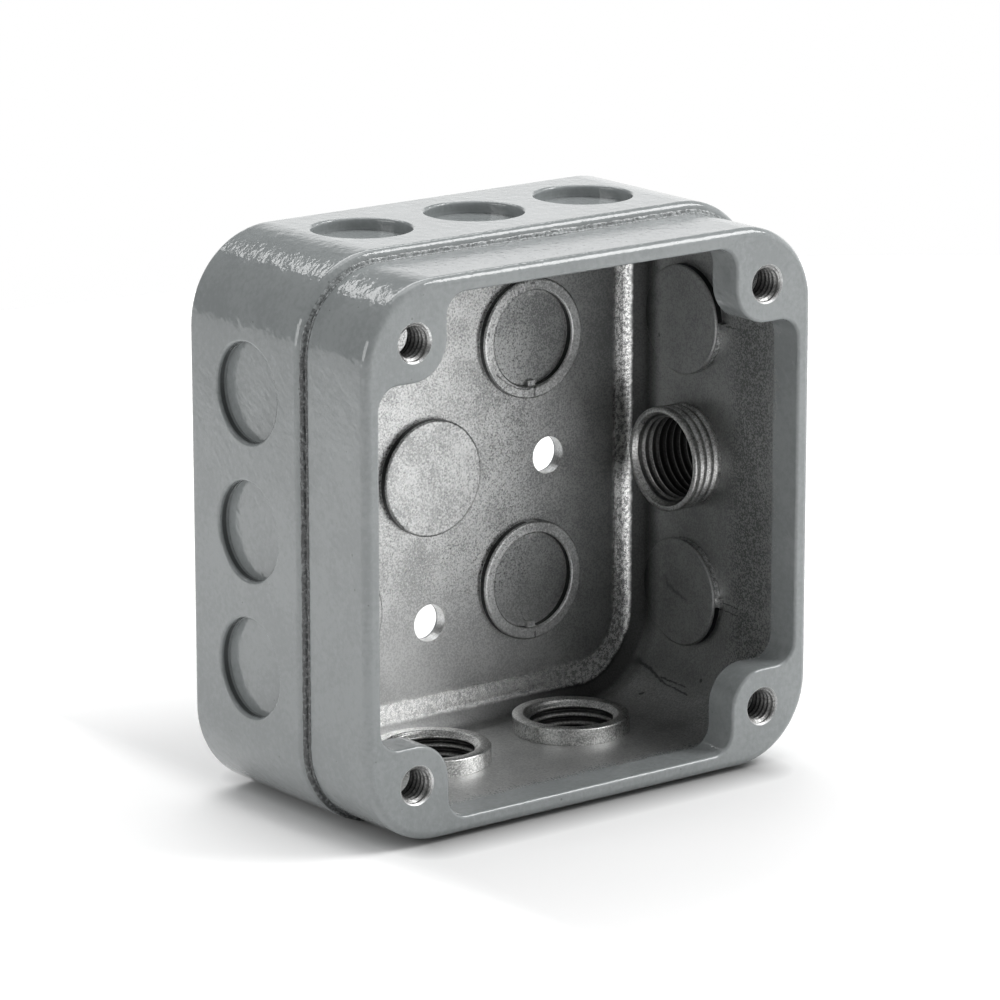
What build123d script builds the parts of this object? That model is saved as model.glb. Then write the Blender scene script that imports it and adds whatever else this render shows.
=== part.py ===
from build123d import *
import os

os.makedirs("parts", exist_ok=True)

# Square steel utility box, standing on its bottom wall with the open side towards -Y.
# X is the width, Y the depth from the open side to the back, Z the height.
# All sizes are in millimetres.

# Rear shell: the deep square pan that carries the knockouts and the hubs.
shell_side = 122.4
shell_corner = 19.9
box_depth = 60.2
wall = 3.1
back_edge = 1.7
rim_edge = 1.5
root_fillet = 4.5

# Front ring: a shallower frame, smaller all round, welded to the front of the shell.
ring_inset = 1.7
ring_corner = 18.3
ring_drop = 0.75
ring_length = 20.8
ring_wall = 2.2
ring_edge = 1.8
lip_length = 8.0
lip_width = 3.7
lip_edge = 0.7
seam_bevel = 0.8

# Cover-screw ears in the four corners of the ring.
screw_inset = 12.7
screw_radius = 4.0
screw_mouth = 0.3
ear_lobe = 8.4
ear_fillet = 4.8

# Seam weld, run in the groove between the ring and the shell.
bead_height = 0.5
bead_edge = 0.45

# Knockouts: slugs half sheared out of the wall and standing proud on the inside.
slug_throw = 2.0
slug_edge = 0.5
band_edge = 0.4
recess_depth = 2.6
recess_rim = 0.6
slug_flare = 1.6
side_slug_radius = 12.3
side_row_pitch = 29.6
left_row_setback = 20.9
left_row_rise = 0.9
top_row_setback = 19.1
top_row_shift = 0.3
right_row_setback = 20.0
right_row_upper = 30.1
right_row_lower = 32.1
back_shift = 0.6
back_drop = 0.3
centre_slug_radius = 13.0
large_slug_radius = 13.5
small_slug_radius = 10.8
large_slug_offset = 27.5
tab_width = 2.0
tab_reach = 1.2
tab_height = 1.2

# Mounting holes in the back wall, on the centre lines.
mounting_radius = 4.2
mounting_offset = 33.0

# Threaded hubs for conduit. The bore is the thread's outer diameter.
hub_root_gap = 0.1
hub_bore_radius = 10.2
hub_mouth = 0.5
hub_fit = 0.05
hub_shoulder = 0.6
side_hub_wall = 1.5
side_hub_height = 7.3
side_hub_stub = 6.0
side_hub_drop = 0.7
bottom_hub_wall = 2.8
bottom_hub_height = 3.75
bottom_hub_inset = 36.1
bottom_hub_pitch = 38.5

shell_half = shell_side / 2
inner_half = shell_half - wall
inner_corner = shell_corner - wall
ring_side = shell_side - 2 * ring_inset
mouth_half = ring_side / 2 - lip_width
screw_half = ring_side / 2 - screw_inset
ear_half = screw_half - ear_lobe

recess_radius = side_slug_radius - slug_flare
ring_height = shell_half - ring_drop
side_hub_radius = hub_bore_radius + side_hub_wall
bottom_hub_radius = hub_bore_radius + bottom_hub_wall
hub_row_depth = box_depth - wall - root_fillet - hub_root_gap - bottom_hub_radius

left = (-1, 0, 0)
right = (1, 0, 0)
top = (0, 0, 1)
bottom = (0, 0, -1)


# A plane parallel to the open side at a given depth and height, facing the front.
def front_plane(depth, height=shell_half, shift=0.0):
    return Plane(origin=(shift, depth - box_depth / 2, height), x_dir=(1, 0, 0), z_dir=(0, -1, 0))


# A plane parallel to a side wall, facing outwards. Its local x runs along the depth.
def wall_plane(outward, distance, depth):
    origin = (
        outward[0] * distance,
        depth - box_depth / 2,
        shell_half + outward[2] * distance,
    )
    return Plane(origin=origin, x_dir=(0, 1, 0), z_dir=outward)


# Round edges of one radius that lie at one distance along an axis.
def round_edges(edges, axis, position, radius):
    at_position = edges.filter_by(GeomType.CIRCLE).filter_by_position(axis, position - 0.01, position + 0.01)
    return at_position.filter_by(lambda edge: abs(edge.radius - radius) < 0.01)


# Each wall's knockouts: the side, its setback from the back, and the places along the row. On
# the left wall the places run downwards, on the top wall to the left, on the right wall upwards.
left_places = [step * side_row_pitch - left_row_rise for step in (-1, 0, 1)]
top_places = [step * side_row_pitch + top_row_shift for step in (-1, 0, 1)]
side_rows = [
    (left, left_row_setback, left_places),
    (top, top_row_setback, top_places),
    (right, right_row_setback, [right_row_upper, -right_row_lower]),
]
bottom_hub_right = shell_half - bottom_hub_inset
bottom_hub_places = (bottom_hub_right, bottom_hub_right - bottom_hub_pitch)

# Rear shell
with BuildPart() as rear_shell:
    with BuildSketch(front_plane(box_depth)):
        RectangleRounded(shell_side, shell_side, shell_corner)
    extrude(amount=box_depth - ring_length)
    fillet(rear_shell.faces().sort_by(Axis.Y)[-1].edges(), radius=back_edge)
    fillet(rear_shell.faces().sort_by(Axis.Y)[0].edges(), radius=rim_edge)
    with BuildSketch(front_plane(box_depth - wall)):
        RectangleRounded(2 * inner_half, 2 * inner_half, inner_corner)
    extrude(amount=box_depth - wall - ring_length, mode=Mode.SUBTRACT)
    floor_y = box_depth / 2 - wall
    fillet(rear_shell.edges().filter_by_position(Axis.Y, floor_y - 0.01, floor_y + 0.01), radius=root_fillet)

    # Rows of knockouts in the left, top and right walls, each held by a tab at its front.
    for outward, setback, places in side_rows:
        row_depth = box_depth - setback
        spots = [(0, place) for place in places]
        with BuildSketch(wall_plane(outward, shell_half, row_depth)):
            with Locations(*spots):
                Circle(recess_radius)
        extrude(amount=-recess_depth, mode=Mode.SUBTRACT)
        with BuildSketch(wall_plane(outward, inner_half, row_depth)):
            with Locations(*spots):
                Circle(side_slug_radius)
        extrude(amount=-slug_throw)
        tab_spots = [(-side_slug_radius, place) for place in places]
        with BuildSketch(wall_plane(outward, inner_half, row_depth)):
            with Locations(*tab_spots):
                Rectangle(2 * tab_reach, tab_width)
        extrude(amount=-tab_height)

    back_height = shell_half - back_drop
    back_outside = front_plane(box_depth, back_height, -back_shift)
    back_inside = front_plane(box_depth - wall, back_height, -back_shift)

    # Plain knockout in the middle of the back wall.
    with BuildSketch(back_outside):
        Circle(centre_slug_radius - slug_flare)
    extrude(amount=slug_throw, mode=Mode.SUBTRACT)
    with BuildSketch(back_inside):
        Circle(centre_slug_radius)
    extrude(amount=slug_throw)

    # Four concentric knockouts: the outer band is thrown inwards, the inner disc stays level.
    with BuildSketch(back_outside):
        with GridLocations(2 * large_slug_offset, 2 * large_slug_offset, 2, 2):
            Circle(large_slug_radius - slug_flare)
            Circle(small_slug_radius - slug_flare, mode=Mode.SUBTRACT)
    extrude(amount=slug_throw, mode=Mode.SUBTRACT)
    with BuildSketch(back_inside):
        with GridLocations(2 * large_slug_offset, 2 * large_slug_offset, 2, 2):
            Circle(large_slug_radius)
            Circle(small_slug_radius, mode=Mode.SUBTRACT)
    extrude(amount=slug_throw)
    with BuildSketch(back_inside):
        with GridLocations(2 * large_slug_offset, 2 * large_slug_offset, 2, 2):
            with Locations((0, small_slug_radius), (0, -small_slug_radius)):
                Rectangle(tab_width, 2 * tab_reach)
    extrude(amount=tab_height)

    # Mounting holes
    with BuildSketch(back_outside):
        with PolarLocations(mounting_offset, 4):
            Circle(mounting_radius)
    extrude(amount=wall, mode=Mode.SUBTRACT)

    # Seats for the hubs
    with BuildSketch(wall_plane(right, shell_half, hub_row_depth)):
        with Locations((0, -side_hub_drop)):
            Circle(side_hub_radius - hub_shoulder + hub_fit)
    extrude(amount=-wall, mode=Mode.SUBTRACT)
    with BuildSketch(wall_plane(bottom, shell_half, hub_row_depth)):
        with Locations(*[(0, place) for place in bottom_hub_places]):
            Circle(bottom_hub_radius - hub_shoulder + hub_fit)
    extrude(amount=-wall, mode=Mode.SUBTRACT)

    # Rounded rims of the recesses on the outside
    shell_edges = rear_shell.edges()
    rims = round_edges(shell_edges, Axis.X, -shell_half, recess_radius)
    rims += round_edges(shell_edges, Axis.X, shell_half, recess_radius)
    rims += round_edges(shell_edges, Axis.Z, shell_side, recess_radius)
    rims += round_edges(shell_edges, Axis.Y, box_depth / 2, centre_slug_radius - slug_flare)
    rims += round_edges(shell_edges, Axis.Y, box_depth / 2, large_slug_radius - slug_flare)
    fillet(rims, radius=recess_rim)

    # Rounded edges of the slugs on the inside
    slug_top = inner_half - slug_throw
    slug_face = box_depth / 2 - wall - slug_throw
    slug_edges = round_edges(shell_edges, Axis.X, -slug_top, side_slug_radius)
    slug_edges += round_edges(shell_edges, Axis.X, slug_top, side_slug_radius)
    slug_edges += round_edges(shell_edges, Axis.Z, shell_half + slug_top, side_slug_radius)
    slug_edges += round_edges(shell_edges, Axis.Y, slug_face, centre_slug_radius)
    slug_edges += round_edges(shell_edges, Axis.Y, slug_face, large_slug_radius)
    fillet(slug_edges, radius=slug_edge)
    fillet(round_edges(rear_shell.edges(), Axis.Y, slug_face, small_slug_radius), radius=band_edge)
rear_shell.part.label = "rear_shell"

# Front ring
with BuildPart() as front_ring:
    with BuildSketch(front_plane(ring_length, ring_height)):
        RectangleRounded(ring_side, ring_side, ring_corner)
    extrude(amount=ring_length)
    fillet(front_ring.faces().sort_by(Axis.Y)[0].edges(), radius=ring_edge)
    chamfer(front_ring.faces().sort_by(Axis.Y)[-1].edges(), length=seam_bevel)

    # Hollow behind the lip and the ears
    with BuildSketch(front_plane(ring_length, ring_height)):
        hollow_side = ring_side - 2 * ring_wall
        RectangleRounded(hollow_side, hollow_side, ring_corner - ring_wall)
    extrude(amount=ring_length - lip_length, mode=Mode.SUBTRACT)

    # Mouth, with a lobed ear left in each corner
    with BuildSketch(front_plane(lip_length, ring_height)) as mouth:
        Rectangle(2 * mouth_half, 2 * mouth_half)
        ear_block = ring_side / 2 - ear_half
        with GridLocations(2 * ear_half + ear_block, 2 * ear_half + ear_block, 2, 2):
            Rectangle(ear_block, ear_block, mode=Mode.SUBTRACT)
        tips = mouth.vertices().filter_by(lambda spot: abs(abs(spot.X) - abs(spot.Y)) < 0.01)
        fillet(tips, radius=ear_lobe)
        roots = mouth.vertices().filter_by(lambda spot: max(abs(spot.X), abs(spot.Y)) > mouth_half - 0.01)
        fillet(roots, radius=ear_fillet)
    extrude(amount=lip_length, mode=Mode.SUBTRACT)
    front_y = -box_depth / 2
    face_edges = front_ring.edges().filter_by_position(Axis.Y, front_y - 0.01, front_y + 0.01)
    reach = mouth_half + 0.01
    mouth_edges = face_edges.filter_by_position(Axis.X, -reach, reach)
    mouth_edges = mouth_edges.filter_by_position(Axis.Z, ring_height - reach, ring_height + reach)
    fillet(mouth_edges, radius=lip_edge)

    # Tapped holes for the cover screws
    with BuildSketch(front_plane(0, ring_height)):
        with GridLocations(2 * screw_half, 2 * screw_half, 2, 2):
            Circle(screw_radius)
    extrude(amount=-lip_length, mode=Mode.SUBTRACT)
    chamfer(round_edges(front_ring.edges(), Axis.Y, front_y, screw_radius), length=screw_mouth)
front_ring.part.label = "front_ring"

# Seam weld
with BuildPart() as seam_weld:
    bead_side = ring_side + 2 * bead_height
    with BuildSketch(front_plane(ring_length, ring_height)):
        RectangleRounded(bead_side, bead_side, ring_corner + bead_height)
    extrude(amount=seam_bevel)
    fillet(seam_weld.faces().sort_by(Axis.Y)[0].edges(), radius=bead_edge)
    with BuildSketch(front_plane(ring_length - seam_bevel, ring_height)):
        RectangleRounded(ring_side, ring_side, ring_corner)
    extrude(amount=-seam_bevel, taper=45, mode=Mode.SUBTRACT)
seam_weld.part.label = "seam_weld"


# A hub: a collar inside the wall, and a spigot through the wall that ends in a stub outside.
def hub_part(outward, place, radius, height, stub):
    with BuildPart() as hub:
        with BuildSketch(wall_plane(outward, shell_half + stub, hub_row_depth)):
            with Locations((0, place)):
                Circle(radius - hub_shoulder)
        extrude(amount=-(stub + wall))
        with BuildSketch(wall_plane(outward, inner_half, hub_row_depth)):
            with Locations((0, place)):
                Circle(radius)
        extrude(amount=-height)
        with BuildSketch(wall_plane(outward, shell_half + stub, hub_row_depth)):
            with Locations((0, place)):
                Circle(hub_bore_radius)
        extrude(amount=-(stub + wall + height), mode=Mode.SUBTRACT)
        bore_ends = hub.edges().filter_by(GeomType.CIRCLE).filter_by(
            lambda edge: abs(edge.radius - hub_bore_radius) < 0.01
        )
        chamfer(bore_ends, length=hub_mouth)
    return hub.part


side_hub = hub_part(right, -side_hub_drop, side_hub_radius, side_hub_height, side_hub_stub)
side_hub.label = "side_hub"
bottom_hub_a = hub_part(bottom, bottom_hub_places[0], bottom_hub_radius, bottom_hub_height, 0)
bottom_hub_a.label = "bottom_hub_right"
bottom_hub_b = hub_part(bottom, bottom_hub_places[1], bottom_hub_radius, bottom_hub_height, 0)
bottom_hub_b.label = "bottom_hub_left"

export_step(rear_shell.part, "parts/rear_shell.step")
export_step(front_ring.part, "parts/front_ring.step")
export_step(seam_weld.part, "parts/seam_weld.step")
export_step(side_hub, "parts/side_hub.step")
export_step(bottom_hub_a, "parts/bottom_hub_right.step")
export_step(bottom_hub_b, "parts/bottom_hub_left.step")
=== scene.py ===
import math

import bmesh
import bpy
from mathutils import Matrix, Vector, noise


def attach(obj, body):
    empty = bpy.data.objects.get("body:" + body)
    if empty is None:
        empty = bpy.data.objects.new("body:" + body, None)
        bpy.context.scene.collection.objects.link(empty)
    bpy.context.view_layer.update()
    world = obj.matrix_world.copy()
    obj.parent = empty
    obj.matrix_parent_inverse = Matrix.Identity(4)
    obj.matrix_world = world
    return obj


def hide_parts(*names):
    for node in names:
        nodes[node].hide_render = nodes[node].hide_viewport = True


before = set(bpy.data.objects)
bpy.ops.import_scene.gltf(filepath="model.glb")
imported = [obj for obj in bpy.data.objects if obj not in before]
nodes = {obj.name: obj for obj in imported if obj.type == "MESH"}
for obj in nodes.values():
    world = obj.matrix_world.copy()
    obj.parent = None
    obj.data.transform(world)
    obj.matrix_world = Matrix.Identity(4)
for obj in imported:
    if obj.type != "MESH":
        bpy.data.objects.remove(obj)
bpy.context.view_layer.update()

mm = 0.001

# The box as part.py makes it, in millimetres
box = {
    "half": 61.2, "corner": 19.9, "wall": 3.1, "depth": 60.2,
    "ringHalf": 59.5, "ringCorner": 18.3, "ringWall": 2.2, "ringHeight": 60.45,
    "screwHalf": 46.8, "hubDepth": 39.5, "sideHubHeight": 60.5, "bottomHubs": (25.1, -13.4),
    "backMiddle": (-0.6, 60.9), "mountingOffset": 33, "concentricOffset": 27.5,
}
frontY = -box["depth"] / 2
hubY = frontY + box["hubDepth"]


# Node helpers
def newTree(name):
    material = bpy.data.materials.new(name)
    material.use_nodes = True
    material.node_tree.nodes.clear()
    return material, material.node_tree


def add(tree, kind, inputs=None, **settings):
    made = tree.nodes.new(kind)
    for key, value in settings.items():
        setattr(made, key, value)
    for key, value in (inputs or {}).items():
        if isinstance(value, bpy.types.NodeSocket):
            tree.links.new(value, made.inputs[key])
        else:
            made.inputs[key].default_value = value
    return made


def calc(tree, operation, a, b=0.0, clamp=False):
    return add(tree, "ShaderNodeMath", {0: a, 1: b}, operation=operation, use_clamp=clamp).outputs[0]


def vectorCalc(tree, operation, inputs, output="Vector"):
    return add(tree, "ShaderNodeVectorMath", inputs, operation=operation).outputs[output]


def plus(tree, a, b):
    return calc(tree, "ADD", a, b)


def minus(tree, a, b):
    return calc(tree, "SUBTRACT", a, b)


def times(tree, a, b):
    return calc(tree, "MULTIPLY", a, b)


def larger(tree, a, b):
    return calc(tree, "MAXIMUM", a, b)


# How far a coordinate lies from a place in millimetres, on either side
def gap(tree, value, place=0.0):
    return calc(tree, "ABSOLUTE", minus(tree, value, place * mm))


def hypotenuse(tree, u, v):
    return calc(tree, "SQRT", plus(tree, times(tree, u, u), times(tree, v, v)))


def ramp(tree, value, low, high, toLow=0.0, toHigh=1.0, smooth=True):
    made = add(
        tree, "ShaderNodeMapRange",
        {"Value": value, "From Min": low, "From Max": high, "To Min": toLow, "To Max": toHigh},
        interpolation_type="SMOOTHSTEP" if smooth else "LINEAR",
    )
    return made.outputs["Result"]


# The same between two places in millimetres
def rampMm(tree, value, low, high, toLow=0.0, toHigh=1.0, smooth=True):
    return ramp(tree, value, low * mm, high * mm, toLow, toHigh, smooth)


# 1 between two places in millimetres, fading out within a soft margin
def band(tree, value, low, high, soft):
    rise = rampMm(tree, value, low - soft, low + soft)
    fall = rampMm(tree, value, high - soft, high + soft, 1.0, 0.0)
    return times(tree, rise, fall)


def mixColor(tree, factor, a, b, blend="MIX"):
    made = add(tree, "ShaderNodeMix", {0: factor, 6: a, 7: b}, data_type="RGBA", blend_type=blend)
    return made.outputs[2]


def tint(tree, factor, color, by):
    return mixColor(tree, factor, color, by, "MULTIPLY")


def mixValue(tree, factor, a, b):
    return add(tree, "ShaderNodeMix", {0: factor, 2: a, 3: b}, data_type="FLOAT").outputs[0]


def grain(tree, vector, size, detail=2.0, roughness=0.5):
    made = add(
        tree, "ShaderNodeTexNoise",
        {"Vector": vector, "Scale": 1 / (size * mm), "Detail": detail, "Roughness": roughness},
    )
    return made.outputs["Fac"]


# A grain that swings about 0, as far as its reach in millimetres
def wander(tree, vector, size, reach, detail=2.0, roughness=0.5):
    return times(tree, minus(tree, grain(tree, vector, size, detail, roughness), 0.5), reach * mm)


# A coarse grain and a fine one as one value
def mottle(tree, coarse, fine, share):
    return plus(tree, times(tree, coarse, share), times(tree, fine, 1 - share))


# 1 on sparse specks of uneven size
def specks(tree, point, spacing, reach):
    cells = add(
        tree, "ShaderNodeTexVoronoi", {"Vector": point, "Scale": 1 / (spacing * mm), "Randomness": 1.0}
    ).outputs
    return calc(tree, "LESS_THAN", cells["Distance"], times(tree, cells["Color"], reach))


# A bump of a height in millimetres, laid on the normal below it
def bump(tree, height, strength, distance, under=None):
    inputs = {"Height": height, "Strength": strength, "Distance": distance * mm}
    if under is not None:
        inputs["Normal"] = under
    return add(tree, "ShaderNodeBump", inputs).outputs[0]


def paint(tree, color, rough, normal):
    inputs = {"Base Color": color, "Roughness": rough, "Normal": normal, "IOR": 1.6}
    return add(tree, "ShaderNodeBsdfPrincipled", inputs).outputs[0]


def bareMetal(tree, color, rough, normal):
    inputs = {"Base Color": color, "Metallic": 1.0, "Roughness": rough, "Normal": normal}
    return add(tree, "ShaderNodeBsdfPrincipled", inputs).outputs[0]


def mixShader(tree, factor, a, b):
    return add(tree, "ShaderNodeMixShader", {0: factor, 1: a, 2: b}).outputs[0]


def output(tree, surface):
    add(tree, "ShaderNodeOutputMaterial", {"Surface": surface})


def splitAxes(tree, point):
    return add(tree, "ShaderNodeSeparateXYZ", {0: point}).outputs


def objectPoint(tree):
    point = add(tree, "ShaderNodeTexCoord").outputs["Object"]
    return point, splitAxes(tree, point)


# How far out a point lies from the centres of a rounded square's corner arcs
def squareDistance(tree, axis, half, corner, height):
    straight = (half - corner) * mm
    u = larger(tree, minus(tree, gap(tree, axis[0]), straight), 0.0)
    v = larger(tree, minus(tree, gap(tree, axis[2], height), straight), 0.0)
    return hypotenuse(tree, u, v)


def axisDistance(tree, a, b, atA, atB):
    return hypotenuse(tree, minus(tree, a, atA * mm), minus(tree, b, atB * mm))


def fromBackMiddle(tree, axis):
    return [gap(tree, axis[k], place) for k, place in zip((0, 2), box["backMiddle"])]


# How far a point lies from the nearest axis of the mounting holes, the concentric knockouts,
# the tapped holes, the side hub and the bottom hubs
def mountingDistance(tree, axis):
    across, lift = fromBackMiddle(tree, axis)
    beside = axisDistance(tree, across, lift, box["mountingOffset"], 0)
    above = axisDistance(tree, across, lift, 0, box["mountingOffset"])
    return calc(tree, "MINIMUM", beside, above)


def concentricDistance(tree, axis):
    across, lift = fromBackMiddle(tree, axis)
    return axisDistance(tree, across, lift, box["concentricOffset"], box["concentricOffset"])


def screwDistance(tree, axis):
    across, lift = gap(tree, axis[0]), gap(tree, axis[2], box["ringHeight"])
    return axisDistance(tree, across, lift, box["screwHalf"], box["screwHalf"])


def sideHubDistance(tree, axis):
    return axisDistance(tree, axis[1], axis[2], hubY, box["sideHubHeight"])


def bottomHubDistance(tree, axis):
    each = [axisDistance(tree, axis[0], axis[1], x, hubY) for x in box["bottomHubs"]]
    return calc(tree, "MINIMUM", *each)


# The point squeezed along one direction, so that a grain laid on it runs in streaks that way
def streakPoint(tree, point, direction, squeeze):
    along = vectorCalc(tree, "DOT_PRODUCT", {0: point, 1: direction}, "Value")
    shift = vectorCalc(tree, "SCALE", {0: direction, "Scale": times(tree, along, squeeze - 1)})
    return vectorCalc(tree, "ADD", {0: point, 1: shift})


# 1 along a straight line between two places in millimetres, 0 beyond its width
def lineMask(tree, point, start, end, width, soft):
    span = (Vector(end) - Vector(start)) * mm
    away = vectorCalc(tree, "SUBTRACT", {0: point, 1: Vector(start) * mm})
    along = vectorCalc(tree, "DOT_PRODUCT", {0: away, 1: span}, "Value")
    share = calc(tree, "DIVIDE", along, max(span.length_squared, 1e-12), clamp=True)
    foot = vectorCalc(tree, "SCALE", {0: span, "Scale": share})
    off = vectorCalc(tree, "DISTANCE", {0: away, 1: foot}, "Value")
    return rampMm(tree, off, width, width + soft, 1.0, 0.0)


# Sizes of grains and heights of bumps are in millimetres in all the finishes
enamel = {
    "color": (0.266, 0.284, 0.286, 1), "shade": (0.235, 0.252, 0.254, 1), "cloud": 14, "fleck": 1.2,
    "cloudShare": 0.5, "contrast": (0.4, 0.6),
    "speck": (0.09, 0.10, 0.10, 1), "speckSpacing": 4.2, "speckReach": 0.075, "speckStrength": 0.55,
    # The dark colour on the next line paints shade on the walls of the knockout recesses
    "recessShade": (0.06, 0.065, 0.066, 1), "roughness": (0.05, 0.10), "roughCloud": 9,
    "run": (0.0, -0.707, -0.707), "squeeze": 0.62,  # the way the paint ran
    "peel": {"size": 2.1, "strength": 0.34, "height": 0.36},
    "peelFine": {"size": 0.9, "strength": 0.3, "height": 0.16},
}


def enamelShader(tree, point, recessShade=None):
    cloud = grain(tree, point, enamel["cloud"], 3)
    mixture = mottle(tree, cloud, grain(tree, point, enamel["fleck"], 2, 0.6), enamel["cloudShare"])
    color = mixColor(tree, ramp(tree, mixture, *enamel["contrast"]), enamel["shade"], enamel["color"])
    speck = specks(tree, point, enamel["speckSpacing"], enamel["speckReach"])
    color = mixColor(tree, times(tree, speck, enamel["speckStrength"]), color, enamel["speck"])
    # Painted shade on the walls of the knockout recesses
    if recessShade is not None:
        color = mixColor(tree, recessShade, color, enamel["recessShade"])
    streaks = streakPoint(tree, point, enamel["run"], enamel["squeeze"])
    normal = None
    for peel in (enamel["peel"], enamel["peelFine"]):
        normal = bump(tree, grain(tree, streaks, peel["size"]), peel["strength"], peel["height"], normal)
    rough = ramp(tree, grain(tree, point, enamel["roughCloud"]), 0.3, 0.7, *enamel["roughness"])
    return paint(tree, color, rough, normal)


metal = {
    "light": (0.78, 0.785, 0.78, 1), "dark": (0.35, 0.355, 0.355, 1), "cloud": 9, "spangle": 0.42,
    "cloudShare": 0.25, "contrast": (0.4, 0.6), "sandGrain": (0.46, 0.56), "sandStrength": 0.9,
    "pit": (0.06, 0.06, 0.06, 1), "pitSpacing": 6.5, "pitReach": 0.035, "pitStrength": 0.6,
    # Painted shade towards the right: its colour, how strongly it is mixed in, and how much rougher the metal
    # is made there
    "rightShade": (0.5, 0.505, 0.505, 1), "rightShadeStrength": 0.45, "rightShadeRough": 0.16,
    # A darker tone for the sandy zone, also used for the painted shade on the right of the back wall and on
    # the right wall; the strengths of that painted shade on the right wall and of the painted light low down
    # on the left
    "shade": (0.5, 0.505, 0.505, 1), "farWallShadeStrength": 0.72, "lowLightStrength": 0.5,
    # Colours of the painted shade on the sheared walls and on the inner discs of the concentric knockouts
    "sheared": (0.035, 0.036, 0.036, 1), "disc": (0.5, 0.51, 0.51, 1), "discStrength": 0.5,
    # Colour and strength of the painted shade beside the root fillet
    "creaseShade": (0.07, 0.071, 0.071, 1), "creaseShadeStrength": (0.35, 0.95),
    # Colour of the painted highlights, their speckle and their roughness
    "paintedLit": (0.97, 0.97, 0.96, 1), "sparkle": 0.7, "sparkleContrast": (0.45, 0.55), "paintedLitRough": 0.23,
    "roughness": (0.25, 0.39), "footRough": 0.12,
    "lumps": {"size": 2.2, "strength": 0.12, "height": 0.3},
    "fine": {"strength": 0.5, "height": 0.14},
}

# Where its tones, painted shade and painted light change, in millimetres: x runs to the right, y to the back,
# z up
zones = {
    "rightShadeX": (20, 50), "lowLightX": (25, 45), "lowLightZ": (15, 50), "sandX": (45, 55), "sandY": (-20, -6, 4),
    "backWallY": (26.5, 26.8), "farWallShadeX": (51, 56), "farWallShadeY": (21, 25), "creaseShadeX": (-20, 45),
    "footZ": (10, 40),
}


# Bare galvanised metal, with painted shade towards the right and painted light low down on the left. The shell
# also gives masks for the painted highlights and painted shade round its root and knockouts, for the bump of
# its root, and for its scars
def galvanisedShader(tree, point, scarsAndShading=None):
    axis = splitAxes(tree, point)
    spangle = grain(tree, point, metal["spangle"], 3, 0.7)
    mixture = mottle(tree, grain(tree, point, metal["cloud"], 3), spangle, metal["cloudShare"])
    color = mixColor(tree, ramp(tree, mixture, *metal["contrast"]), metal["dark"], metal["light"])
    # Painted shade towards the right, where the metal is also made rougher
    rightShade = rampMm(tree, axis[0], *zones["rightShadeX"])
    color = mixColor(tree, times(tree, rightShade, metal["rightShadeStrength"]), color, metal["rightShade"])
    # Painted light low down towards the left: the light tone mixed in
    low = rampMm(tree, axis[2], *zones["lowLightZ"], metal["lowLightStrength"], 0.0)
    pale = times(tree, low, rampMm(tree, axis[0], *zones["lowLightX"], 1.0, 0.0))
    color = mixColor(tree, pale, color, metal["light"])
    sand = times(tree, band(tree, axis[1], *zones["sandY"]), rampMm(tree, axis[0], *zones["sandX"]))
    sand = times(tree, sand, ramp(tree, spangle, *metal["sandGrain"], metal["sandStrength"], 0.0))
    color = tint(tree, sand, color, metal["shade"])
    # Painted shade on the right of the back wall, and on the right wall short of the back
    backRight = times(tree, rampMm(tree, axis[1], *zones["backWallY"]), rightShade)
    farWallShade = rampMm(tree, axis[0], *zones["farWallShadeX"], 0.0, metal["farWallShadeStrength"])
    farWallShade = times(tree, farWallShade, rampMm(tree, axis[1], *zones["farWallShadeY"], 1.0, 0.0))
    color = tint(tree, larger(tree, backRight, farWallShade), color, metal["shade"])
    foot = rampMm(tree, axis[2], *zones["footZ"], metal["footRough"], 0.0)
    rough = ramp(tree, spangle, 0.3, 0.7, *metal["roughness"])
    rough = plus(tree, rough, larger(tree, times(tree, rightShade, metal["rightShadeRough"]), foot))
    form = None
    if scarsAndShading:
        # Painted shade beside the root fillet, stronger towards the right
        creaseShaded = rampMm(tree, axis[0], *zones["creaseShadeX"], *metal["creaseShadeStrength"])
        color = tint(tree, times(tree, scarsAndShading["dark"], creaseShaded), color, metal["creaseShade"])
        # Painted highlights on the root fillet and on the sheared walls of the right wall: a speckled light
        # colour, and smoother
        highlights = larger(tree, scarsAndShading["rootHighlight"], scarsAndShading["shearHighlight"])
        sparkle = grain(tree, point, metal["sparkle"], 4, 0.8)
        sparkle = ramp(tree, sparkle, *metal["sparkleContrast"], 0.1, 1.0)
        color = mixColor(tree, times(tree, highlights, sparkle), color, metal["paintedLit"])
        # Painted shade on the inner discs of the concentric knockouts
        color = tint(tree, times(tree, scarsAndShading["disc"], metal["discStrength"]), color, metal["disc"])
        # Painted shade on the sheared walls round the knockouts
        color = mixColor(tree, scarsAndShading["sheared"], color, metal["sheared"])
        color = mixColor(tree, scarsAndShading["wear"], color, metal["pit"])
        rough = mixValue(tree, highlights, rough, metal["paintedLitRough"])
        form = bump(tree, scarsAndShading["form"], 1.0, 1.0)
    pit = specks(tree, point, metal["pitSpacing"], metal["pitReach"])
    color = mixColor(tree, times(tree, pit, metal["pitStrength"]), color, metal["pit"])
    lumps, fine = metal["lumps"], metal["fine"]
    normal = bump(tree, grain(tree, point, lumps["size"], 3, 0.6), lumps["strength"], lumps["height"], form)
    normal = bump(tree, spangle, fine["strength"], fine["height"], normal)
    return bareMetal(tree, color, rough, normal)


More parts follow.
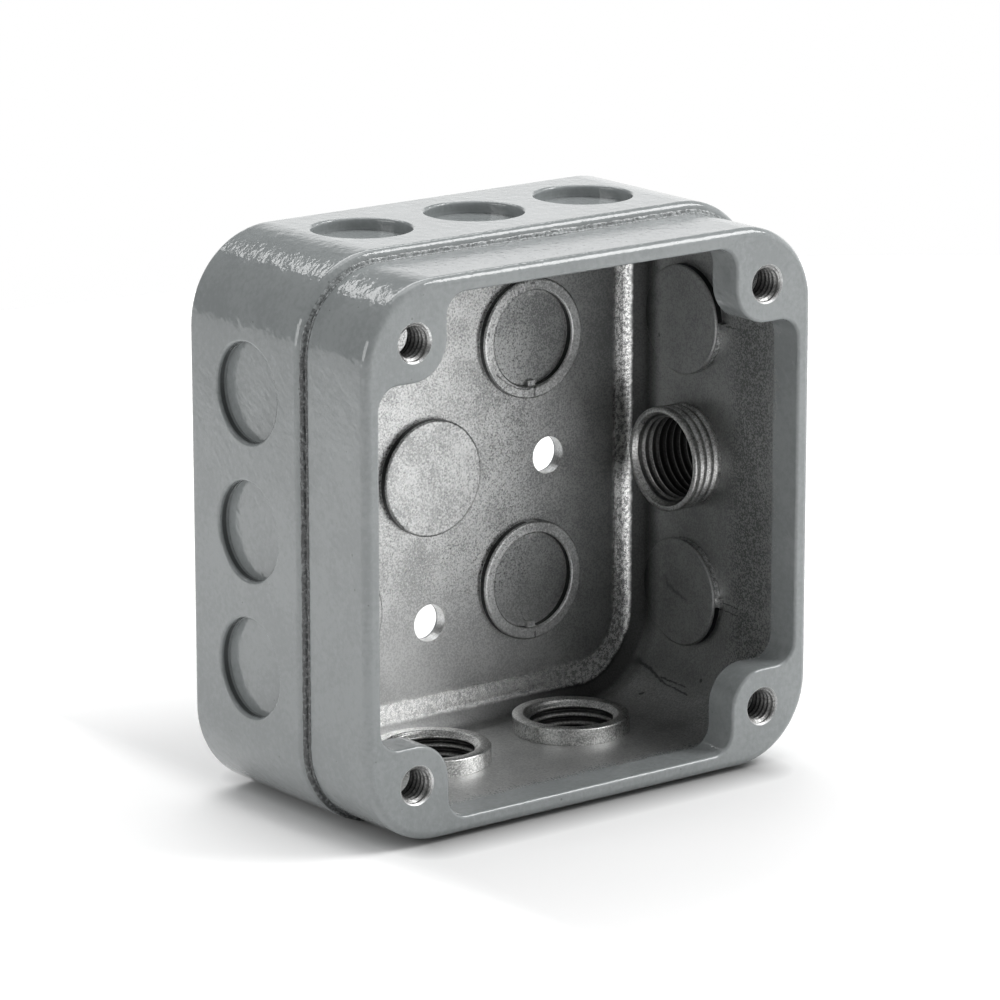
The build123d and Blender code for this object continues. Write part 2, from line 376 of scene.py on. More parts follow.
# Cracks, scratches and pits of the bare metal: (start, end, half width, soft edge) in millimetres
wear = {
    "crackUpperA": ((58.1, 1.1, 91.7), (58.1, -5.0, 91.9), 0.12, 0.2),
    "crackUpperB": ((58.1, -5.0, 91.9), (58.1, -11.0, 91.9), 0.05, 0.15),
    "dashUpper": ((58.1, -21.7, 93.8), (58.1, -20.1, 91.1), 0.08, 0.12),
    "pitUpperA": ((57.5, 26.5, 92.4), (57.5, 26.0, 90.6), 0.1, 0.4),
    "pitUpperB": ((58.1, 22.9, 85.3), (58.1, 22.6, 85.2), 0.15, 0.3),
    "scratchA": ((58.1, -2.4, 29.2), (58.1, -13.4, 28.5), 0.06, 0.14),
    "scratchB": ((58.1, -1.9, 27.4), (58.1, -14.1, 27.0), 0.08, 0.14),
    "crackLowerA": ((55.1, 22.8, 10.4), (54.7, 17.9, 9.7), 0.15, 0.5),
    "crackLowerB": ((54.7, 17.9, 9.7), (53.3, 12.0, 8.2), 0.12, 0.4),
    "crackLowerC": ((53.3, 12.0, 8.2), (52.6, 2.0, 7.5), 0.06, 0.3),
    "crackLowerD": ((54.0, 13.2, 8.9), (53.8, 4.4, 8.7), 0.06, 0.3),
    "cornerSpot": ((52.4, 27.0, 10.5), (53.6, 26.2, 9.7), 0.4, 1.4),
    "cornerSmear": ((53.6, 26.2, 9.7), (55.1, 22.8, 10.4), 0.1, 1.6),
    "smearDiscA": ((56.1, 14.6, 31.8), (56.1, 13.5, 29.9), -0.6, 1.4),
    "smearDiscB": ((56.1, 13.5, 29.9), (56.1, 7.2, 27.8), -0.6, 1.6),
    "pitDisc": ((56.1, 17.4, 86.8), (56.1, 17.2, 86.4), 0.1, 0.35),
    "lugA": ((16.7, 25.0, 81.7), (19.2, 25.0, 79.5), 0.04, 0.22),
    "lugB": ((19.2, 25.0, 79.5), (21.9, 25.0, 78.0), 0.04, 0.22),
    "lugC": ((21.9, 25.0, 78.0), (25.0, 25.0, 77.1), 0.04, 0.22),
    "lugD": ((25.0, 25.0, 77.1), (26.7, 25.0, 77.5), 0.04, 0.22),
    "lugEnd": ((27.2, 25.0, 78.1), (27.2, 25.0, 75.4), 0.1, 0.22),
    "lugLow": ((27.4, 25.0, 21.6), (27.4, 25.0, 19.6), 0.1, 0.25),
    "dotBandA": ((14.5, 25.0, 90.9), (14.5, 25.0, 90.6), 0.12, 0.3),
    "dotBandB": ((26.6, 25.0, 100.9), (27.0, 25.0, 100.9), 0.12, 0.3),
    "crackDiscA": ((24.6, 27.0, 26.8), (25.5, 27.0, 24.8), 0.03, 0.18),
    "crackDiscB": ((25.5, 27.0, 24.8), (26.9, 27.0, 22.7), 0.03, 0.18),
    "pitLowerA": ((19.4, 26.3, 3.1), (19.7, 25.6, 3.1), 0.35, 0.25),
    "pitLowerB": ((49.7, 15.3, 5.3), (50.0, 14.8, 5.3), 0.25, 0.25),
    "pitLowerC": ((55.4, 1.0, 10.7), (55.4, 0.7, 10.6), 0.25, 0.3),
}
wearLook = {"wobbleSize": 1.3, "wobble": 0.9, "strength": 0.7}


def wearMask(tree, point):
    scale = 1 / (wearLook["wobbleSize"] * mm)
    wobble = add(tree, "ShaderNodeTexNoise", {"Vector": point, "Scale": scale, "Detail": 2.0})
    centred = vectorCalc(tree, "SUBTRACT", {0: wobble.outputs["Color"], 1: (0.5, 0.5, 0.5)})
    shift = vectorCalc(tree, "SCALE", {0: centred, "Scale": wearLook["wobble"] * mm})
    shaken = vectorCalc(tree, "ADD", {0: point, 1: shift})
    mask = 0.0
    for start, end, width, soft in wear.values():
        mask = larger(tree, mask, lineMask(tree, shaken, start, end, width, soft))
    return times(tree, mask, wearLook["strength"])


# The root of the pan: a painted highlight along the fillet towards the back wall, painted shade before it, and
# a bump that rounds the fillet out.
# Across it, 0 is the middle of the fillet, which lies a little further out near the bottom
root = {
    "middleZ": (10, 24), "middle": (11.9, 10.2), "wanderSize": 2.5, "wander": 1.4,
    "rootHighlight": (1.9, 6.9, 0.8), "shadeRise": (-9, -3), "shadeFall": (1.2, 2.6), "halfWidth": 6.8, "rise": 0.95,
}


def rootMasks(tree, point, axis, distance):
    middle = rampMm(tree, axis[2], *root["middleZ"], *[place * mm for place in root["middle"]])
    across = minus(tree, minus(tree, axis[1], distance), middle)
    highlightAcross = plus(tree, across, wander(tree, point, root["wanderSize"], root["wander"], 3))
    share = calc(tree, "DIVIDE", across, root["halfWidth"] * mm)
    dome = larger(tree, minus(tree, 1.0, times(tree, share, share)), 0.0)
    rise, fall = rampMm(tree, across, *root["shadeRise"]), rampMm(tree, across, *root["shadeFall"], 1.0, 0.0)
    return {
        "rootHighlight": band(tree, highlightAcross, *root["rootHighlight"]),
        "dark": times(tree, rise, fall),
        "form": times(tree, calc(tree, "POWER", dome, 1.5), root["rise"]),
    }


# Where the shell's finishes, painted shade and painted highlights change, in millimetres: out from the corner
# arcs' centres unless named for an axis. The sheared walls round the knockouts lie between the faces of the
# wall
shell = {
    "edge": 0.35, "edgeSoft": 0.1, "edgeSize": 5, "edgeWander": 0.3,
    "holeEdge": (4.25, 4.45), "holeReach": 2.3,
    "sideY": (-8.1, 22.4, 0.05), "field": (12.2, 12.3), "rightX": (40, 45),
    "recessShade": (17.9, 19.0, 0.2), "recessShadeY": (28.3, 29.2, 0.25), "recessShadeZ": (110, 118), "recessShadeTop": 0.15,
    "shear": (15.4, 16.72, 0.08), "shearY": (25.6, 26.92, 0.08), "paintedLitZ": (29.1, 90, 1.5),
    "sideTabsZ": (60.2, 31.1), "sideTab": (1.0, 1.3), "backTab": (1.2, 1.5),
    "disc": (9.6, 10.7), "discY": (26.4, 26.8),
}


# 1 on the inner side of a limit in millimetres, 0 beyond it
def within(tree, value, limit, soft):
    return rampMm(tree, value, limit - soft, limit + soft, 1.0, 0.0)


# Masks round the knockouts: painted shade on the recess walls, the sheared walls and the inner discs, and
# painted highlights on the sheared walls of the right wall
def knockoutMasks(tree, axis, distance):
    sides = band(tree, axis[1], *shell["sideY"])
    field = rampMm(tree, distance, *shell["field"], 1.0, 0.0)
    right = rampMm(tree, axis[0], *shell["rightX"])
    # Painted shade on the walls of the recesses outside, fading on the top wall
    recessShade = larger(
        tree, times(tree, band(tree, distance, *shell["recessShade"]), sides),
        times(tree, band(tree, axis[1], *shell["recessShadeY"]), field),
    )
    recessShade = times(tree, recessShade, rampMm(tree, axis[2], *shell["recessShadeZ"], 1.0, shell["recessShadeTop"]))
    # Painted shade on the sheared walls of the side knockouts; the back wall's follow below
    shearSide = times(tree, band(tree, distance, *shell["shear"]), sides)
    # On the right wall between these heights, the sheared walls get a painted highlight in place of their
    # painted shade
    paintedLit = times(tree, right, band(tree, axis[2], *shell["paintedLitZ"]))
    shearHighlight = times(tree, shearSide, paintedLit)
    tabsMiddle, tabsOffset = shell["sideTabsZ"]
    level = gap(tree, gap(tree, axis[2], tabsMiddle), tabsOffset)
    onTab = times(tree, rampMm(tree, level, *shell["sideTab"], 1.0, 0.0), right)
    shearSide = times(tree, shearSide, minus(tree, 1.0, larger(tree, paintedLit, onTab)))
    shearBack = times(tree, band(tree, axis[1], *shell["shearY"]), field)
    tabs = gap(tree, fromBackMiddle(tree, axis)[0], box["concentricOffset"])
    offTab = larger(tree, rampMm(tree, tabs, *shell["backTab"]), shearSide)
    # Painted shade on the inner discs of the concentric knockouts, where they lie level with the back wall
    disc = rampMm(tree, concentricDistance(tree, axis), *shell["disc"], 1.0, 0.0)
    return {
        "recessShade": recessShade, "shearHighlight": shearHighlight,
        "sheared": times(tree, larger(tree, shearSide, shearBack), offTab),
        "disc": times(tree, disc, rampMm(tree, axis[1], *shell["discY"])),
    }


# The shell: enamel outside, bare galvanised metal inside, parted within the wall
def shellMaterial():
    material, tree = newTree("shell_enamel_and_zinc")
    point, axis = objectPoint(tree)
    distance = squareDistance(tree, axis, box["half"], box["corner"], box["half"])
    innerCorner = box["corner"] - box["wall"] + shell["edge"]
    backWall = frontY + box["depth"] - box["wall"] + shell["edge"]
    depth = plus(tree, axis[1], wander(tree, point, shell["edgeSize"], shell["edgeWander"]))
    holes = rampMm(tree, mountingDistance(tree, axis), *shell["holeEdge"], shell["holeReach"] * mm, 0.0)
    inside = times(
        tree, within(tree, distance, innerCorner, shell["edgeSoft"]),
        within(tree, minus(tree, depth, holes), backWall, shell["edgeSoft"]),
    )
    # Masks of the root's and the knockouts' painted highlights and painted shade, of the root's bump, and of
    # the scars
    scarsAndShading = {**rootMasks(tree, point, axis, distance), **knockoutMasks(tree, axis, distance)}
    scarsAndShading["wear"] = wearMask(tree, point)
    painted = enamelShader(tree, point, scarsAndShading["recessShade"])
    output(tree, mixShader(tree, inside, painted, galvanisedShader(tree, point, scarsAndShading)))
    return material


# The ring: enamel outside and, where the spray reached, some way in behind the lip
spray = {
    "edge": 0.6, "edgeSoft": 0.1, "x": (40, 55), "y": (-17.5, -21.5), "soft": 1.0, "hole": (4.25, 4.4),
    "wanderSize": 4, "wander": 6, "dustSize": 0.5, "dust": 14,
}


def ringMaterial():
    material, tree = newTree("ring_enamel_and_zinc")
    point, axis = objectPoint(tree)
    distance = squareDistance(tree, axis, box["ringHalf"], box["ringCorner"], box["ringHeight"])
    innerCorner = box["ringCorner"] - box["ringWall"] + spray["edge"]
    sides = within(tree, distance, innerCorner, spray["edgeSoft"])
    depth = plus(tree, axis[1], wander(tree, point, spray["wanderSize"], spray["wander"], 3))
    depth = plus(tree, depth, wander(tree, point, spray["dustSize"], spray["dust"], 3, 0.7))
    reach = rampMm(tree, axis[0], *spray["x"], *[place * mm for place in spray["y"]])
    behind = rampMm(tree, minus(tree, depth, reach), -spray["soft"], spray["soft"])
    tapped = rampMm(tree, screwDistance(tree, axis), *spray["hole"], 1.0, 0.0)
    inside = larger(tree, times(tree, sides, behind), tapped)
    output(tree, mixShader(tree, inside, enamelShader(tree, point), galvanisedShader(tree, point)))
    return material


# The painted weld, rough, with painted shade in its hollows below the top corners
weld = {
    "light": (0.34, 0.36, 0.362, 1), "dark": (0.13, 0.14, 0.141, 1), "weldShade": (0.045, 0.048, 0.049, 1),
    "roughness": 0.17, "beads": 0.8, "bump": 0.7, "height": 0.25, "weldShadeZ": (98, 117),
}


def seamMaterial():
    material, tree = newTree("seam_enamel")
    point, axis = objectPoint(tree)
    beads = grain(tree, point, weld["beads"], 3, 0.6)
    color = mixColor(tree, ramp(tree, beads, 0.38, 0.62), weld["dark"], weld["light"])
    # Painted shade in the weld's hollows below the top corners
    below = rampMm(tree, axis[2], *weld["weldShadeZ"], 1.0, 0.0)
    weldShade = times(tree, below, ramp(tree, beads, 0.45, 0.7, 0.95, 0.5))
    color = mixColor(tree, weldShade, color, weld["weldShade"])
    output(tree, paint(tree, color, weld["roughness"], bump(tree, beads, weld["bump"], weld["height"])))
    return material


# The hubs' threaded bores, collars and mouths, in millimetres
anyHub = {
    "bore": 10.2, "thread": 1.0, "pitch": 2.0, "crestFlat": 0.12, "mouth": 1.35, "mouthMost": 0.45,
    "shoulder": 0.6, "innerEdge": 0.5, "collarEdge": 0.25, "collarStop": 0.2, "stubEdge": 0.3, "endEdge": 0.35,
    "threadFrom": 0.9, "threadFadeIn": 0.8, "threadFadeOut": 0.7, "step": 0.11, "around": 96,
}
sideHub = {
    **anyHub, "length": 16.4, "collar": 7.3, "radius": 11.7, "outerThread": 0.5,
    "mouthSlope": 0.6, "endMouth": 0.2,
}
bottomHub = {
    **anyHub, "length": 6.85, "collar": 3.75, "radius": 13.0, "outerThread": 0,
    "mouthSlope": 1.2, "endMouth": 1.2,
}
sideInner = box["half"] - box["wall"] - sideHub["collar"]
bottomInner = box["wall"] + bottomHub["collar"]


# How deep a point lies below the mouth of its bore
def sideHubDepth(tree, axis):
    return minus(tree, axis[0], sideInner * mm)


def bottomHubDepth(tree, axis):
    return minus(tree, bottomInner * mm, axis[2])


def screwDepth(tree, axis):
    return minus(tree, axis[1], frontY * mm)


# Turned steel of the hubs and the screw threads, with painted shade in the grooves and deep in the bores
steel = {
    # The first two colours paint shade: in the thread grooves, and black deeper in the bores
    "root": (0.04, 0.04, 0.039, 1), "deep": (0.008, 0.008, 0.008, 1), "grooveShadeStrength": 0.88,
    "cloud": 3, "speck": 0.4, "dull": 0.42, "warmth": 0.985, "roughness": (0.27, 0.35), "deepRough": 0.35,
    "bump": 0.5, "height": 0.14, "edge": 0.2, "grooveFrom": (0.2, 0.6), "sunkFrom": (1.0, 1.6),
    "blackFrom": 0.5, "blackStrength": (0.15, 0.95),
}
# Radii of each thread's crests and roots, and how deep the painted shade in its bore turns black, in
# millimetres
threads = {
    # The light value sets each part's steel as painted light or shade: lightest on the bottom hubs, darkest in
    # the ear threads
    "side_hub_steel": {
        "distance": sideHubDistance, "depth": sideHubDepth,
        "crest": 9.2, "root": 10.2, "light": 0.72, "black": 7,
    },
    "bottom_hub_steel": {
        "distance": bottomHubDistance, "depth": bottomHubDepth,
        "crest": 9.2, "root": 10.2, "light": 0.95, "black": 14,
    },
    "ear_thread_steel": {
        "distance": screwDistance, "depth": screwDepth,
        "crest": 3.32, "root": 4.0, "light": 0.5, "black": 10,
    },
}


def steelMaterial(name):
    material, tree = newTree(name)
    point, axis = objectPoint(tree)
    thread = threads[name]
    light, crest, rootRadius = thread["light"], thread["crest"], thread["root"]
    cloud = grain(tree, point, steel["cloud"], 4, 0.6)
    speck = grain(tree, point, steel["speck"], 3, 0.7)
    pale, dull = [
        (light * share, light * share, light * share * steel["warmth"], 1) for share in (1.0, steel["dull"])
    ]
    color = mixColor(tree, ramp(tree, mottle(tree, cloud, speck, 0.3), 0.38, 0.62), dull, pale)
    distance = thread["distance"](tree, axis)
    depth = thread["depth"](tree, axis)
    # Painted shade in the grooves of the bores, past their mouths
    bored = rampMm(tree, distance, rootRadius, rootRadius + steel["edge"], 1.0, 0.0)
    bored = times(tree, bored, rampMm(tree, depth, *steel["sunkFrom"]))
    grooved = rampMm(tree, distance, *[crest + beyond for beyond in steel["grooveFrom"]])
    grooveShade = times(tree, grooved, steel["grooveShadeStrength"])
    color = mixColor(tree, times(tree, bored, grooveShade), color, steel["root"])
    # Painted shade turning black deeper in the bores, which are made rougher there too
    black = rampMm(tree, depth, steel["blackFrom"], thread["black"], *steel["blackStrength"], smooth=False)
    sunk = times(tree, bored, black)
    color = mixColor(tree, sunk, color, steel["deep"])
    rough = ramp(tree, cloud, 0.3, 0.7, *steel["roughness"])
    rough = plus(tree, rough, times(tree, sunk, steel["deepRough"]))
    output(tree, bareMetal(tree, color, rough, bump(tree, speck, steel["bump"], steel["height"])))
    return material


def giveMaterial(node, material):
    node.data.materials.clear()
    node.data.materials.append(material)


def newPiece(name, bm, material):
    mesh = bpy.data.meshes.new(name)
    bm.to_mesh(mesh)
    bm.free()
    for face in mesh.polygons:
        face.use_smooth = True
    mesh.materials.append(material)
    piece = bpy.data.objects.new(name, mesh)
    bpy.context.scene.collection.objects.link(piece)
    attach(piece, "root")
    return piece


giveMaterial(nodes["rear_shell"], shellMaterial())
giveMaterial(nodes["front_ring"], ringMaterial())
seamEnamel = seamMaterial()
sideHubSteel, bottomHubSteel, threadSteel = [steelMaterial(name) for name in threads]
print("materials made")


# A closed profile of (radius, height) points in millimetres, spun round the Z axis
def lathe(profile, steps):
    bm = bmesh.new()
    row = [bm.verts.new((radius * mm, 0, height * mm)) for radius, height in profile]
    loop = [bm.edges.new(pair) for pair in zip(row, row[1:] + row[:1])]
    bmesh.ops.spin(
        bm, geom=row + loop, cent=(0, 0, 0), axis=(0, 0, 1), dvec=(0, 0, 0),
        angle=2 * math.pi, steps=steps, use_merge=True,
    )
    bmesh.ops.remove_doubles(bm, verts=bm.verts, dist=1e-7)
    bmesh.ops.recalc_face_normals(bm, faces=bm.faces)
    return bm


def limited(value, low=0, high=1):
    return min(max(value, low), high)


# Share of a turn that a point has gone along a helix round the Z axis
def turns(angle, height, pitch):
    return height / pitch + angle / (2 * math.pi)


# Thread height between 0 in the groove and 1 on the crest, with flats on both
def threadHeight(angle, height, pitch, crestFlat, rootFlat=0.12):
    rise = 1 - abs(2 * (turns(angle, height, pitch) % 1.0) - 1)
    return limited((rise - rootFlat) / (1 - crestFlat - rootFlat))


def heights(low, high, step):
    count = max(1, round((high - low) / step))
    return [low + (high - low) * k / count for k in range(count + 1)]


# Radius, height and angle of a vertex round the Z axis, in millimetres
def polar(vert):
    return math.hypot(vert.co.x, vert.co.y) / mm, vert.co.z / mm, math.atan2(vert.co.y, vert.co.x)


def setRadius(vert, wanted, reach):
    vert.co.x *= wanted / reach
    vert.co.y *= wanted / reach


def threadedBore(hub, height, angle):
    crest = threadHeight(angle, height, hub["pitch"], hub["crestFlat"])
    mouth = max(hub["mouth"] - height * hub["mouthSlope"], hub["endMouth"] - hub["length"] + height)
    wanted = hub["bore"] - min(hub["thread"] * crest, hub["thread"] - mouth)
    return min(wanted, hub["bore"] + hub["mouthMost"])


def threadedCollar(hub, height, angle):
    fade = limited((height - hub["threadFrom"]) / hub["threadFadeIn"])
    fade *= limited((hub["collar"] - height) / hub["threadFadeOut"])
    rise = 0.5 + 0.5 * math.cos(2 * math.pi * turns(angle, height, hub["pitch"]))
    return hub["radius"] - hub["outerThread"] * fade * (1 - rise ** 0.6)


# A hub, modelled with its inner end at height 0 and its outer end at height length
def makeHub(name, hub, place, material):
    length, radius, bore, collar = hub["length"], hub["radius"], hub["bore"], hub["collar"]
    stub = radius - hub["shoulder"]
    profile = [(bore, height) for height in heights(0, length, hub["step"])]
    profile += [(bore + hub["endEdge"], length), (stub - hub["stubEdge"], length)]
    profile += [(stub, length - hub["stubEdge"]), (stub, collar), (radius, collar)]
    outer = heights(hub["collarEdge"], collar - hub["collarStop"], hub["step"])
    profile += [(radius, height) for height in reversed(outer)]
    profile += [(radius - hub["collarEdge"], 0), (bore + hub["innerEdge"], 0)]
    bm = lathe(profile, hub["around"])
    for vert in bm.verts:
        reach, height, angle = polar(vert)
        if abs(reach - bore) < 0.01:
            setRadius(vert, threadedBore(hub, height, angle), reach)
        elif abs(reach - radius) < 0.01 and hub["outerThread"] > 0:
            setRadius(vert, threadedCollar(hub, height, angle), reach)
    bm.transform(place)
    bmesh.ops.recalc_face_normals(bm, faces=bm.faces)
    return newPiece(name, bm, material)


place = Matrix.Translation((sideInner * mm, hubY * mm, box["sideHubHeight"] * mm))
piece = makeHub("side_hub_threaded", sideHub, place @ Matrix.Rotation(math.pi / 2, 4, "Y"), sideHubSteel)
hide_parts("side_hub")
for side, x in zip(("right", "left"), box["bottomHubs"]):
    place = Matrix.Translation((x * mm, hubY * mm, bottomInner * mm)) @ Matrix.Rotation(math.pi, 4, "X")
    piece = makeHub(f"bottom_hub_{side}_threaded", bottomHub, place, bottomHubSteel)
    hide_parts(f"bottom_hub_{side}")
print("hubs made")


# The threads in the four ears, as thin sleeves set in the tapped holes
screwThread = {
    "radius": 4.0, "thread": 0.68, "pitch": 1.25, "crestFlat": 0.1, "start": 0.3, "end": 7.9,
    "startFade": 0.7, "endFade": 0.5, "sleeve": 0.06, "step": 0.09, "around": 48,
}


def makeScrewThread(name, x, z):
    start, end, radius = screwThread["start"], screwThread["end"], screwThread["radius"]
    outside = radius + screwThread["sleeve"]
    profile = [(radius, height) for height in heights(start, end, screwThread["step"])]
    bm = lathe(profile + [(outside, end), (outside, start)], screwThread["around"])
    for vert in bm.verts:
        reach, height, angle = polar(vert)
        if abs(reach - radius) > 0.01:
            continue
        crest = threadHeight(angle, height, screwThread["pitch"], screwThread["crestFlat"])
        fromStart = (height - start) / screwThread["startFade"]
        fade = limited(min(fromStart, (end - height) / screwThread["endFade"]))
        setRadius(vert, radius - screwThread["thread"] * crest * fade, reach)
    bm.transform(Matrix.Translation((x * mm, frontY * mm, z * mm)) @ Matrix.Rotation(-math.pi / 2, 4, "X"))
    bmesh.ops.recalc_face_normals(bm, faces=bm.faces)
    return newPiece(name, bm, threadSteel)


for across, sideName in ((-1, "left"), (1, "right")):
    for up, levelName in ((-1, "lower"), (1, "upper")):
        makeScrewThread(
            f"ear_thread_{levelName}_{sideName}",
            across * box["screwHalf"], box["ringHeight"] + up * box["screwHalf"],
        )
print("ear threads made")


# The seam weld: a section of (height above the ring, depth) points swept round the rounded square,
# then roughened by two grains (size, strength) and swollen to a lump on top. All in millimetres
seam = {
    "section": [
        (-0.5, 20.0), (-0.04, 19.7), (0.16, 19.78), (0.26, 19.98), (0.16, 20.18), (-0.08, 20.34),
        (-0.08, 20.46), (0.15, 20.56), (0.4, 20.6), (0.65, 20.68), (0.88, 20.8), (1.04, 20.98),
        (1.0, 21.25), (-0.5, 21.25),
    ],
    "runSteps": 230, "cornerSteps": 80, "rough": 0.17, "grains": ((0.7, 0.7), (2.6, 0.5)),
    "lump": 0.3, "lumpX": 5.6, "lumpWidth": 2.2, "lumpAbove": 100, "lowest": 0.02,
}


def onlyOf(items, kind):
    return [item for item in items if isinstance(item, kind)]


def makeSeam():
    bm = bmesh.new()
    straight = box["ringHalf"] - box["ringCorner"]
    row = [
        bm.verts.new(((box["ringHalf"] + rise) * mm, (frontY + depth) * mm, -straight * mm))
        for rise, depth in seam["section"]
    ]
    loop = [bm.edges.new(pair) for pair in zip(row, row[1:] + row[:1])]
    direction = Vector((0, 0, 1))
    for turn in range(4):
        for step in range(seam["runSteps"]):
            made = bmesh.ops.extrude_edge_only(bm, edges=loop)["geom"]
            loop = onlyOf(made, bmesh.types.BMEdge)
            shift = direction * (2 * straight * mm / seam["runSteps"])
            bmesh.ops.translate(bm, vec=shift, verts=onlyOf(made, bmesh.types.BMVert))
        corner = Matrix.Rotation(-turn * math.pi / 2, 3, "Y") @ Vector((straight * mm, 0, straight * mm))
        ends = list({vert for edge in loop for vert in edge.verts})
        made = bmesh.ops.spin(
            bm, geom=loop + ends, cent=corner, axis=(0, -1, 0), dvec=(0, 0, 0),
            angle=math.pi / 2, steps=seam["cornerSteps"],
        )["geom_last"]
        loop = onlyOf(made, bmesh.types.BMEdge)
        direction = Matrix.Rotation(-math.pi / 2, 3, "Y") @ direction
    bmesh.ops.remove_doubles(bm, verts=bm.verts, dist=2e-6)
    bmesh.ops.translate(bm, vec=(0, 0, box["ringHeight"] * mm), verts=bm.verts)
    bmesh.ops.recalc_face_normals(bm, faces=bm.faces)
    bm.normal_update()
    moves = []
    for vert in bm.verts:
        spot = vert.co / mm
        rough = sum(noise.noise(spot / size) * strength for size, strength in seam["grains"])
        lump = 0
        if spot.z > seam["lumpAbove"]:
            lump = math.exp(-((spot.x - seam["lumpX"]) / seam["lumpWidth"]) ** 2)
        moves.append(vert.normal * (seam["rough"] * rough + seam["lump"] * lump) * mm)
    for vert, move in zip(bm.verts, moves):
        vert.co += move
        vert.co.z = max(vert.co.z, seam["lowest"] * mm)
    piece = newPiece("seam_bead", bm, seamEnamel)
    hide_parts("seam_weld")


makeSeam()
print("seam made")


# Floor, lamps, world and camera. The white background is for the eye, mirrors and glass alone
def pathRays(tree):
    path = add(tree, "ShaderNodeLightPath").outputs
    return path["Is Camera Ray"], larger(tree, path["Is Glossy Ray"], path["Is Transmission Ray"])


# The floor's size, its place and how far away it glows are in metres, the rest in millimetres
ground = {
    "color": (0.93, 0.93, 0.93, 1), "radius": 0.57, "place": (0.1, -0.1, 0),
    "glowAway": (0.07, 0.22), "glow": 0.26, "leftX": (-66, -48), "leftGlow": 0.27,
    # The box's footprint, how far out the painted shadow round it reaches, and how dark it is at the edge
    "footprint": (43.0, 30.1), "contactShadow": 10, "contactShade": 0.42,
}


def floorMaterial():
    material, tree = newTree("white_floor")
    camera, mirrored = pathRays(tree)
    point, axis = objectPoint(tree)
    beyond = [
        larger(tree, minus(tree, gap(tree, axis[k]), reach * mm), 0.0)
        for k, reach in enumerate(ground["footprint"])
    ]
    # Painted shadow on the floor round the box's footprint
    contactShadow = rampMm(
        tree, hypotenuse(tree, *beyond), 0, ground["contactShadow"], ground["contactShade"], 1.0, smooth=False
    )
    color = mixColor(tree, contactShadow, (0, 0, 0, 1), ground["color"])
    away = vectorCalc(tree, "LENGTH", {0: point}, "Value")
    around = ramp(tree, away, *ground["glowAway"], 0.0, ground["glow"])
    left = rampMm(tree, axis[0], *ground["leftX"], ground["leftGlow"], 0.0)
    strength = times(tree, larger(tree, camera, mirrored), larger(tree, around, left))
    shader = add(tree, "ShaderNodeBsdfDiffuse", {"Color": color})
    lift = add(tree, "ShaderNodeEmission", {"Strength": strength})
    output(tree, add(tree, "ShaderNodeAddShader", {0: shader.outputs[0], 1: lift.outputs[0]}).outputs[0])
    return material


def makeFloor():
    bm = bmesh.new()
    bmesh.ops.create_circle(bm, cap_ends=True, radius=ground["radius"], segments=128)
    bmesh.ops.translate(bm, vec=ground["place"], verts=bm.verts)
    mesh = bpy.data.meshes.new("floor")
    bm.to_mesh(mesh)
    bm.free()
    mesh.materials.append(floorMaterial())
    floor = bpy.data.objects.new("floor", mesh)
    bpy.context.scene.collection.objects.link(floor)


makeFloor()

# Places and sizes in metres, power in watts
softboxes = {
    "top_softbox": {"place": (0.1, 0.1, 1.35), "size": (1.0, 0.9), "power": 5.6},
    "back_softbox": {"place": (0.24, 0.64, 0.93), "size": (0.95, 0.4), "power": 4.2},
    "right_softbox": {"place": (0.68, -0.44, 0.81), "size": (0.5, 0.5), "power": 6.2},
    "left_softbox": {"place": (-1.09, 0.12, 0.33), "size": (0.8, 0.45), "power": 3.8},
}
lampTarget = Vector((0, 0, 0.06))


def makeLamp(name, place, size, power):
    light = bpy.data.lights.new(name, "AREA")
    light.shape = "RECTANGLE"
    light.size, light.size_y = size
    light.energy = power
    lamp = bpy.data.objects.new(name, light)
    lamp.location = place
    lamp.rotation_euler = (lampTarget - Vector(place)).to_track_quat("-Z", "Y").to_euler()
    lamp.visible_camera = False
    bpy.context.scene.collection.objects.link(lamp)


for name, softbox in softboxes.items():
    makeLamp(name, **softbox)

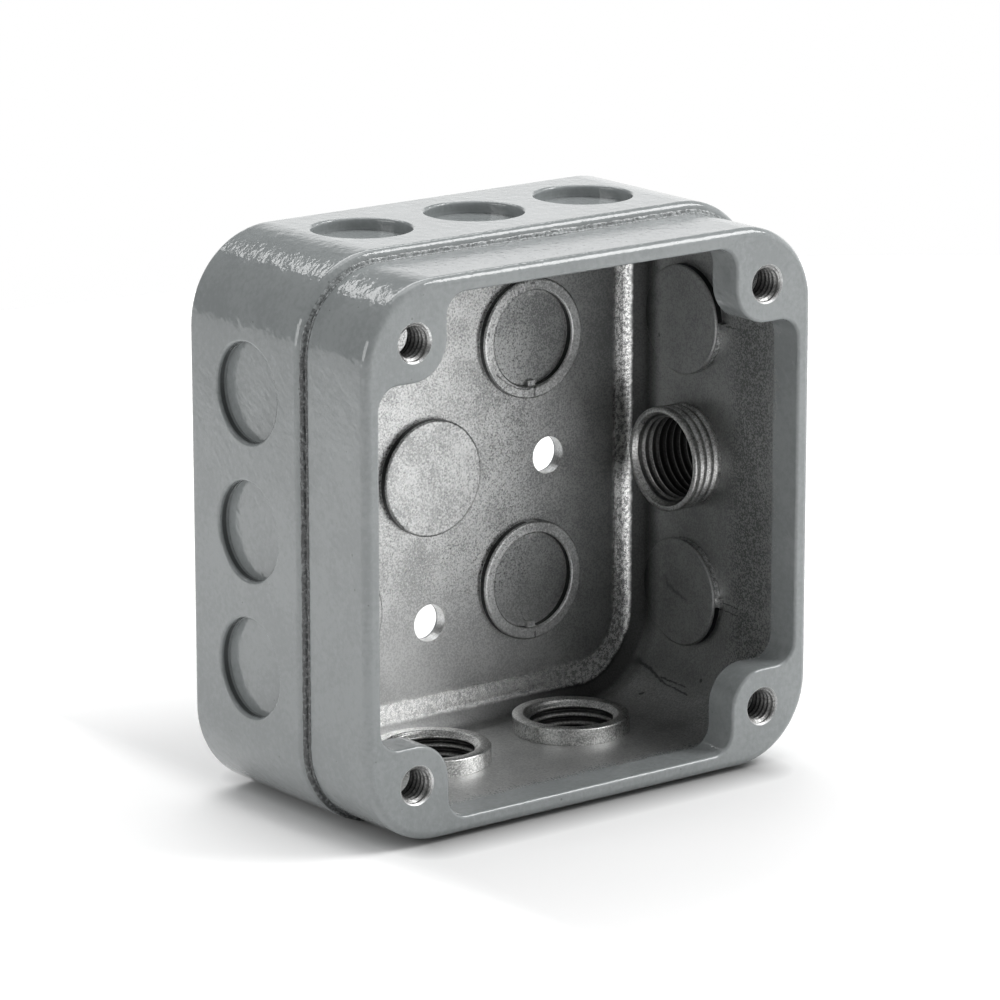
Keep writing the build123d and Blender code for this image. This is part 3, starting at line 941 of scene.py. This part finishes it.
# Strength of the room's light by direction: dim, lighter in front and low down at the back right
room = {
    "dim": 0.14, "frontY": (-0.4, 0.3), "frontX": (-0.3, 0.6), "front": (0.08, 1.0),
    "lowZ": (0.25, 0.5), "backRightX": (-0.2, 0.45), "backRight": 1.1, "horizonZ": (-0.03, 0.0),
}


def makeWorld():
    world = bpy.data.worlds.new("studio")
    bpy.context.scene.world = world
    world.use_nodes = True
    tree = world.node_tree
    tree.nodes.clear()
    axis = splitAxes(tree, add(tree, "ShaderNodeTexCoord").outputs["Generated"])
    front = times(
        tree, ramp(tree, axis[1], *room["frontY"], 1.0, 0.0),
        ramp(tree, axis[0], *room["frontX"], *room["front"]),
    )
    backRight = times(
        tree, ramp(tree, axis[2], *room["lowZ"], 1.0, 0.0),
        ramp(tree, axis[0], *room["backRightX"], 0.0, room["backRight"]),
    )
    level = plus(tree, room["dim"], larger(tree, front, backRight))
    camera, mirrored = pathRays(tree)
    below = ramp(tree, axis[2], *room["horizonZ"], 1.0, 0.0)
    seen = larger(tree, camera, times(tree, mirrored, below))
    background = add(
        tree, "ShaderNodeBackground", {"Color": (1, 1, 1, 1), "Strength": mixValue(tree, seen, level, 1.0)}
    )
    add(tree, "ShaderNodeOutputWorld", {"Surface": background.outputs[0]})


makeWorld()

# The camera that was fitted to the photograph
view = {
    "lens": 187.674, "sensor": 36, "clipStart": 0.05, "place": (-0.661998, -0.854188, 0.338013),
    "right": (0.79111006, -0.61167324, -0.00084565), "up": (0.15246383, 0.19585046, 0.96870913),
    "forward": (0.59236783, 0.76648447, -0.24819731),
}
cameraData = bpy.data.cameras.new("camera")
cameraData.lens = view["lens"]
cameraData.sensor_width = view["sensor"]
cameraData.clip_start = view["clipStart"]
cameraObject = bpy.data.objects.new("camera", cameraData)
turn = Matrix([[view["right"][k], view["up"][k], -view["forward"][k]] for k in range(3)]).to_4x4()
cameraObject.matrix_world = Matrix.Translation(view["place"]) @ turn
bpy.context.scene.collection.objects.link(cameraObject)
bpy.context.scene.camera = cameraObject
bpy.context.scene.view_settings.view_transform = "Standard"
print("stage made")
